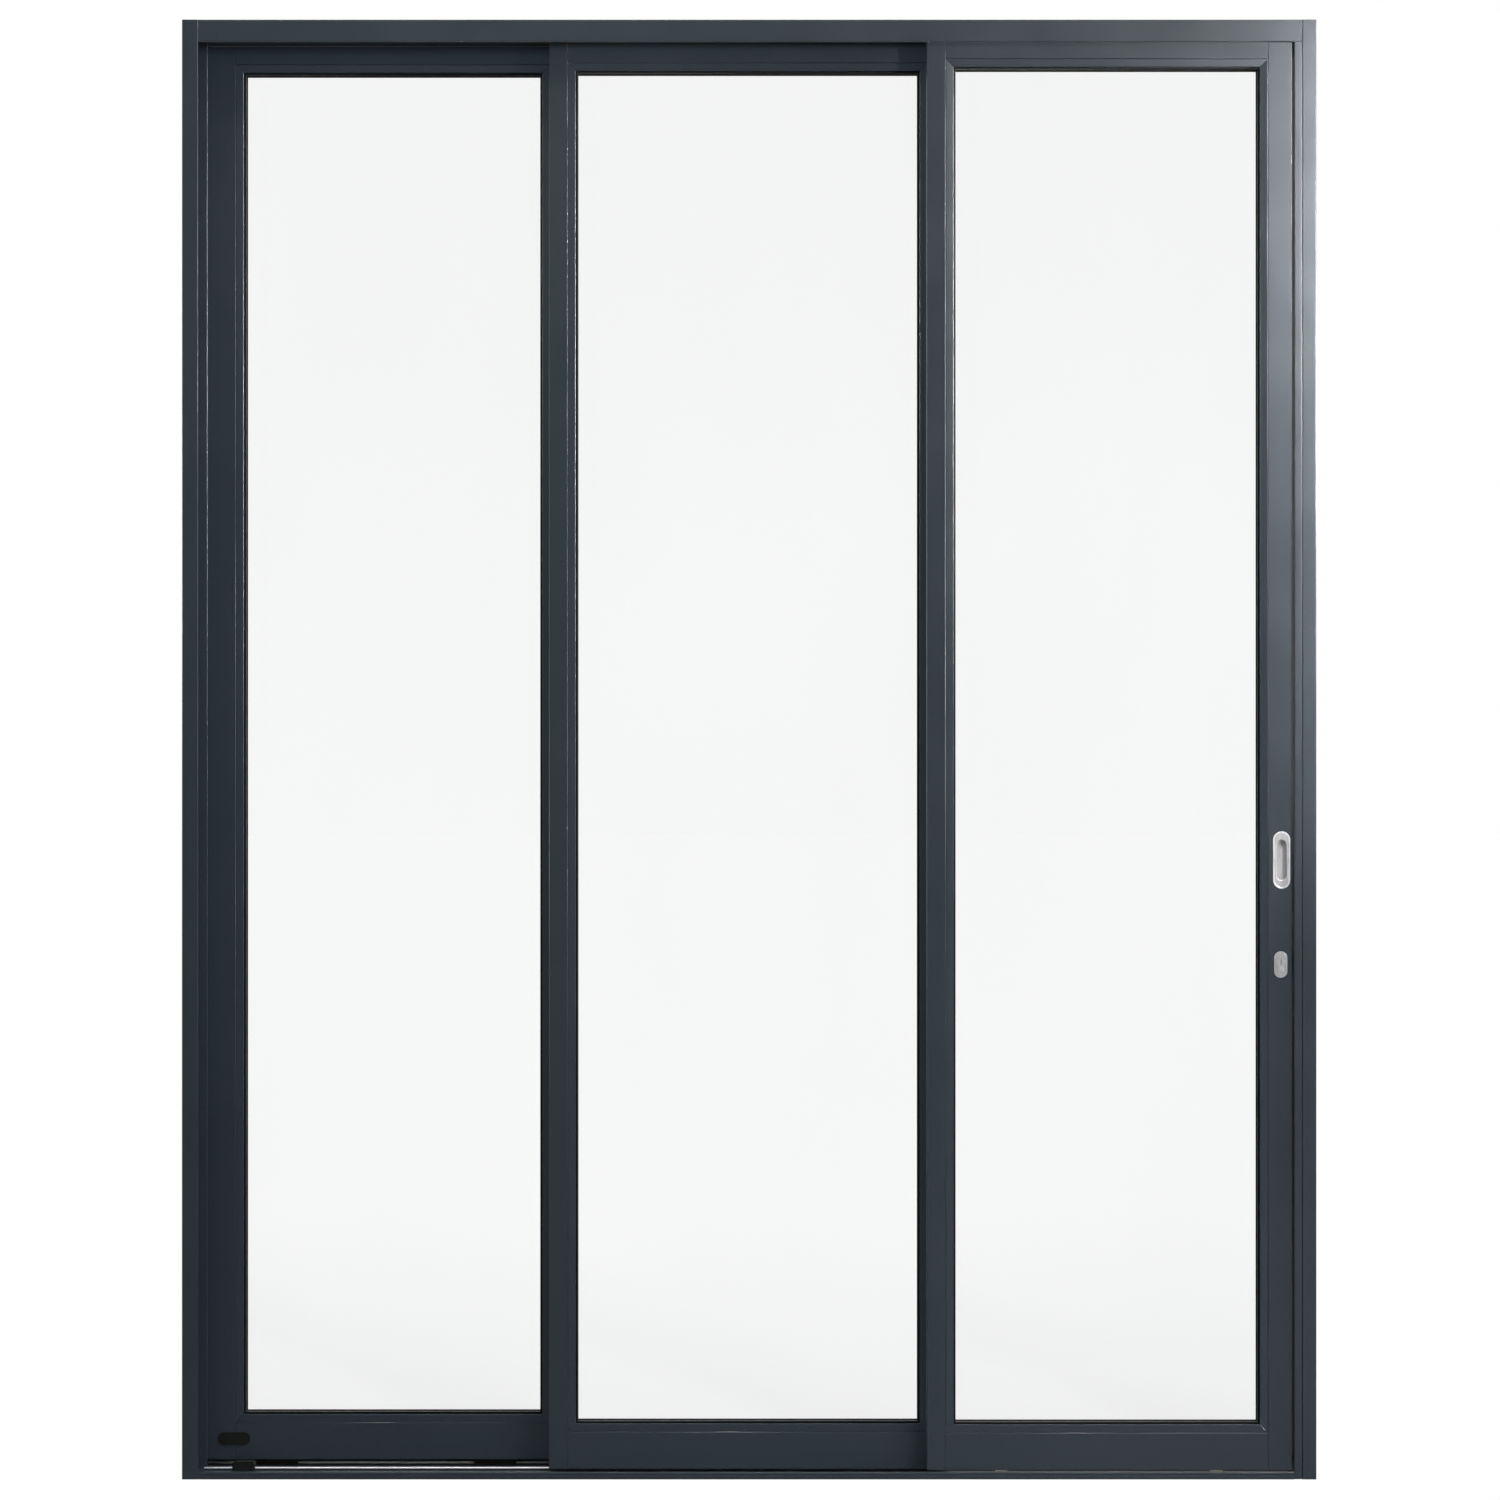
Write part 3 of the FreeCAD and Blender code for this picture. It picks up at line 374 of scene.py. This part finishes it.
def area_light(name, spot, aim, size, power, colour=(1, 1, 1), diffuse=True, glossy=True):
    """Lamp that lights either dull surfaces or gloss, or both, and stays out of the picture."""
    data = bpy.data.lights.new(name, "AREA")
    data.shape = "RECTANGLE"
    data.size, data.size_y = size
    data.energy = power
    data.color = colour
    lamp = bpy.data.objects.new(name, data)
    lamp.location = spot
    lamp.rotation_euler = (Vector(aim) - Vector(spot)).to_track_quat("-Z", "Y").to_euler()
    lamp.visible_diffuse = diffuse
    lamp.visible_glossy = glossy
    lamp.visible_camera = False
    bpy.context.scene.collection.objects.link(lamp)


def make_floor():
    """Floor that looks nearly white in the picture and throws only soft light back at the door."""
    form = bmesh.new()
    bmesh.ops.create_grid(form, x_segments=1, y_segments=1, size=FLOOR_SIZE)
    mesh = bpy.data.meshes.new("floor")
    form.to_mesh(mesh)
    form.free()
    floor = bpy.data.objects.new("floor", mesh)
    floor.location = (0, 0, FLOOR_HEIGHT)
    bpy.context.scene.collection.objects.link(floor)
    made = new_material("floor")
    plain = add(made, "ShaderNodeBsdfDiffuse")
    plain.inputs["Color"].default_value = (0.30, 0.30, 0.30, 1)
    pale = add(made, "ShaderNodeEmission")
    pale.inputs["Strength"].default_value = 0.995
    seen = add(made, "ShaderNodeLightPath")
    both = add(made, "ShaderNodeAddShader")
    tint = add(made, "ShaderNodeBsdfDiffuse")
    tint.inputs["Color"].default_value = (0.02, 0.02, 0.02, 1)
    link(made, pale.outputs["Emission"], both.inputs[0])
    link(made, tint.outputs["BSDF"], both.inputs[1])
    mix = add(made, "ShaderNodeMixShader")
    link(made, seen.outputs["Is Camera Ray"], mix.inputs["Fac"])
    link(made, plain.outputs["BSDF"], mix.inputs[1])
    link(made, both.outputs["Shader"], mix.inputs[2])
    finish_surface(made, mix.outputs["Shader"])
    mesh.materials.append(made)


def background(tree, strength=1.0):
    node = tree.nodes.new("ShaderNodeBackground")
    node.inputs["Color"].default_value = (1, 1, 1, 1)
    node.inputs["Strength"].default_value = strength
    return node


def mix_by(tree, chooser, first, second):
    node = tree.nodes.new("ShaderNodeMixShader")
    tree.links.new(chooser, node.inputs["Fac"])
    tree.links.new(first.outputs[0], node.inputs[1])
    tree.links.new(second.outputs[0], node.inputs[2])
    return node


def make_world():
    """White to the eye, softer as a light, and in reflections dark before the door and bright elsewhere."""
    world = bpy.data.worlds.new("studio")
    world.use_nodes = True
    bpy.context.scene.world = world
    tree = world.node_tree
    tree.nodes.clear()
    seen = tree.nodes.new("ShaderNodeLightPath")
    place = tree.nodes.new("ShaderNodeTexCoord")
    axes = tree.nodes.new("ShaderNodeSeparateXYZ")
    sides = tree.nodes.new("ShaderNodeMapRange")
    for socket, value in (("From Min", -0.92), ("From Max", -0.45), ("To Min", 0.04), ("To Max", 0.9)):
        sides.inputs[socket].default_value = value
    tree.links.new(place.outputs["Generated"], axes.inputs["Vector"])
    tree.links.new(axes.outputs["Y"], sides.inputs["Value"])
    mirrored = background(tree)
    tree.links.new(sides.outputs["Result"], mirrored.inputs["Strength"])
    unseen = mix_by(tree, seen.outputs["Is Glossy Ray"], background(tree, 0.39), mirrored)
    whole = mix_by(tree, seen.outputs["Is Camera Ray"], unseen, background(tree))
    output = tree.nodes.new("ShaderNodeOutputWorld")
    tree.links.new(whole.outputs["Shader"], output.inputs["Surface"])


def make_camera():
    """Camera that looks straight at the front from about 8 m."""
    data = bpy.data.cameras.new("camera")
    data.sensor_width = 36
    data.lens = 116.8
    data.clip_end = 200
    camera = bpy.data.objects.new("camera", data)
    camera.location = (0.0014, -8.093, 1.1992)
    camera.rotation_euler = (math.radians(90), 0, 0)
    bpy.context.scene.collection.objects.link(camera)
    bpy.context.scene.camera = camera


make_floor()
make_world()
make_camera()
area_light("key", (-0.6, -1.9, 2.3), DOOR_MIDDLE, (0.5, 0.3), 18, glossy=False)
area_light("low", (0.9, -1.6, 0.22), DOOR_MIDDLE, (0.5, 0.3), 6.5, glossy=False)
area_light("low_right", (1.6, -1.4, 0.15), (0.9, 0, 0.2), (0.3, 0.3), 2.2, glossy=False)
area_light("sheen", (1.7, -2.0, 2.4), (1.7, 0, 2.4), (0.04, 0.50), 137, SHEEN_TINT, diffuse=False)
area_light("sheen_low", (1.25, -0.7, 1.65), (1.25, 0, 1.65), (0.04, 1.10), 21, SHEEN_TINT, diffuse=False)
area_light("edge_left", (-3.0, -0.6, 2.2), (0, -0.05, 2.0), (0.50, 0.80), 110, diffuse=False)
area_light("edge_right", (3.0, -0.7, 2.1), (0, -0.05, 2.0), (0.50, 0.80), 480, diffuse=False)
area_light("edge_top", (0, -1.4, 3.6), (0, 0, 0.8), (2.60, 0.45), 60, diffuse=False)
area_light("left_fill", (-4.5, 0.9, 1.8), DOOR_MIDDLE, (2.4, 2.4), 8, glossy=False)
area_light("right_fill", (4.5, 0.9, 1.8), DOOR_MIDDLE, (2.4, 2.4), 16, glossy=False)
area_light("rear_fill", (0.8, 4.2, 2.6), DOOR_MIDDLE, (2.0, 1.6), 30, glossy=False)
bpy.context.scene.view_settings.view_transform = "Standard"
bpy.context.scene.cycles.transparent_max_bounces = 32
